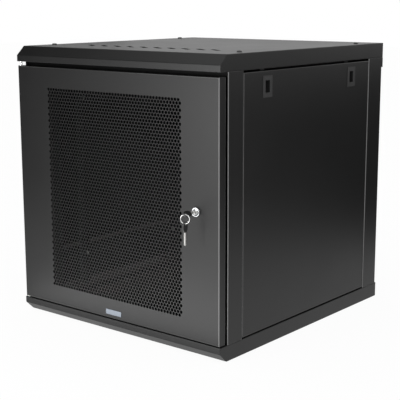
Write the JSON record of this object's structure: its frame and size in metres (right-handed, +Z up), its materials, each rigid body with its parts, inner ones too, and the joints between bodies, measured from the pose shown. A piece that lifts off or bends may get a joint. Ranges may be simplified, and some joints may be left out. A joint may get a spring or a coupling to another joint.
{
  "type": "wall mount network cabinet",
  "caption": "Low, deep wall cabinet for rack equipment, with a perforated locking door, lift-off side panels, adjustable rails and a vented top.",
  "frame": {"origin": "middle of the base's underside", "axes": "+X to the cabinet's right as one faces its door, +Y towards the wall behind it, +Z up"},
  "size_m": [0.6, 0.6805, 0.6384],
  "materials": {
    "cabinet_black": "satin black powder coat",
    "door_black": "satin black powder coat on punched sheet",
    "rail_black": "satin black powder coat",
    "badge": "bare light grey plate",
    "trim_rubber": "black rubber",
    "latch_housing": "fine-textured black plastic",
    "latch_bolt": "black plastic",
    "lock_chrome": "polished chrome plate",
    "zinc_plate": "bright zinc plate",
    "key_steel": "nickel-plated steel",
    "key_plastic": "moulded black plastic",
    "key_wire": "plain spring steel",
    "pin_steel": "bright steel",
    "washer_nylon": "black nylon",
    "screw_black": "blackened steel"
  },
  "bodies": {
    "frame": {"base_cap": "cabinet_black", "cable_port_trim": "trim_rubber", "cap_brackets": "cabinet_black", "cap_screws": "screw_black", "depth_brace_lower_left": "cabinet_black", "depth_brace_lower_right": "cabinet_black", "depth_brace_upper_left": "cabinet_black", "depth_brace_upper_right": "cabinet_black", "front_header": "cabinet_black", "front_post_left": "cabinet_black", "front_post_right": "cabinet_black", "front_sill": "cabinet_black", "hatch_cover": "cabinet_black", "hatch_nuts": "zinc_plate", "hinge_pin_lower": "pin_steel", "hinge_washer_upper": "washer_nylon", "rear_panel": "cabinet_black", "rear_post_left": "cabinet_black", "rear_post_right": "cabinet_black", "top_cap": "cabinet_black", "wall_bar_lower": "cabinet_black", "wall_bar_upper": "cabinet_black"},
    "door": {"badge_plate": "badge", "door_bumpers": "trim_rubber", "door_skin": "door_black", "door_stiffener_left": "cabinet_black", "door_stiffener_right": "cabinet_black", "hinge_pin_bracket": "cabinet_black", "hinge_pin_upper": "pin_steel", "hinge_washer_lower": "washer_nylon", "lock_body": "lock_chrome", "lock_nut": "zinc_plate"},
    "lock_core": {"cam_screw": "zinc_plate", "lock_cam": "zinc_plate", "lock_plug": "lock_chrome"},
    "key": {"key_blade": "key_steel", "key_grip": "key_plastic"},
    "ring": {"key_ring": "key_wire"},
    "spare_key": {"spare_key_blade": "key_steel", "spare_key_grip": "key_plastic"},
    "side_panel_left": {"latch_bezel_front_left": "latch_housing", "latch_bezel_rear_left": "latch_housing", "side_panel_left": "cabinet_black"},
    "latch_front_left": {"latch_slider_front_left": "latch_bolt"},
    "rail_front_left": {"rack_rail_front_left": "rail_black", "rail_bolts_front_left": "zinc_plate"},
    "latch_rear_left": {"latch_slider_rear_left": "latch_bolt"},
    "rail_rear_left": {"rack_rail_rear_left": "rail_black", "rail_bolts_rear_left": "zinc_plate"},
    "side_panel_right": {"latch_bezel_front_right": "latch_housing", "latch_bezel_rear_right": "latch_housing", "side_panel_right": "cabinet_black"},
    "latch_front_right": {"latch_slider_front_right": "latch_bolt"},
    "rail_front_right": {"rack_rail_front_right": "rail_black", "rail_bolts_front_right": "zinc_plate"},
    "latch_rear_right": {"latch_slider_rear_right": "latch_bolt"},
    "rail_rear_right": {"rack_rail_rear_right": "rail_black", "rail_bolts_rear_right": "zinc_plate"}
  },
  "joints": [
    {"name": "door_hinge", "type": "hinge", "parent": "frame", "child": "door", "pos_m": [-0.292, -0.3125, 0.314], "axis": [0, 0, -1], "range_deg": [0, 180]},
    {"name": "lock_turn", "type": "hinge", "parent": "door", "child": "lock_core", "pos_m": [0.238, -0.3185, 0.315], "axis": [0, -1, 0], "range_deg": [0, 90]},
    {"name": "key_slide", "type": "slide", "parent": "lock_core", "child": "key", "axis": [0, -1, 0], "range_m": [0, 0.025]},
    {"name": "ring_swing", "type": "hinge", "parent": "key", "child": "ring", "pos_m": [0.238, -0.3545, 0.315], "axis": [0.9063, 0.4226, 0], "range_deg": [-15, 15]},
    {"name": "spare_key_swing", "type": "hinge", "parent": "ring", "child": "spare_key", "pos_m": [0.238, -0.3545, 0.2962], "axis": [0.9063, 0.4226, 0], "range_deg": [-20, 20]},
    {"name": "side_panel_left_tilt", "type": "hinge", "parent": "frame", "child": "side_panel_left", "pos_m": [-0.2992, 0.005, 0.039], "axis": [0, -1, 0], "range_deg": [0, 25]},
    {"name": "side_panel_right_tilt", "type": "hinge", "parent": "frame", "child": "side_panel_right", "pos_m": [0.2992, 0.005, 0.039], "axis": [0, 1, 0], "range_deg": [0, 25]},
    {"name": "latch_front_left_slide", "type": "slide", "parent": "side_panel_left", "child": "latch_front_left", "axis": [0, 0, 1], "range_m": [0, 0.0065]},
    {"name": "latch_rear_left_slide", "type": "slide", "parent": "side_panel_left", "child": "latch_rear_left", "axis": [0, 0, 1], "range_m": [0, 0.0065]},
    {"name": "latch_front_right_slide", "type": "slide", "parent": "side_panel_right", "child": "latch_front_right", "axis": [0, 0, 1], "range_m": [0, 0.0065]},
    {"name": "latch_rear_right_slide", "type": "slide", "parent": "side_panel_right", "child": "latch_rear_right", "axis": [0, 0, 1], "range_m": [0, 0.0065]},
    {"name": "rail_front_left_slide", "type": "slide", "parent": "frame", "child": "rail_front_left", "axis": [0, 1, 0], "range_m": [-0.055, 0.12]},
    {"name": "rail_rear_left_slide", "type": "slide", "parent": "frame", "child": "rail_rear_left", "axis": [0, 1, 0], "range_m": [-0.12, 0.045]},
    {"name": "rail_front_right_slide", "type": "slide", "parent": "frame", "child": "rail_front_right", "axis": [0, 1, 0], "range_m": [-0.055, 0.12]},
    {"name": "rail_rear_right_slide", "type": "slide", "parent": "frame", "child": "rail_rear_right", "axis": [0, 1, 0], "range_m": [-0.12, 0.045]}
  ]
}
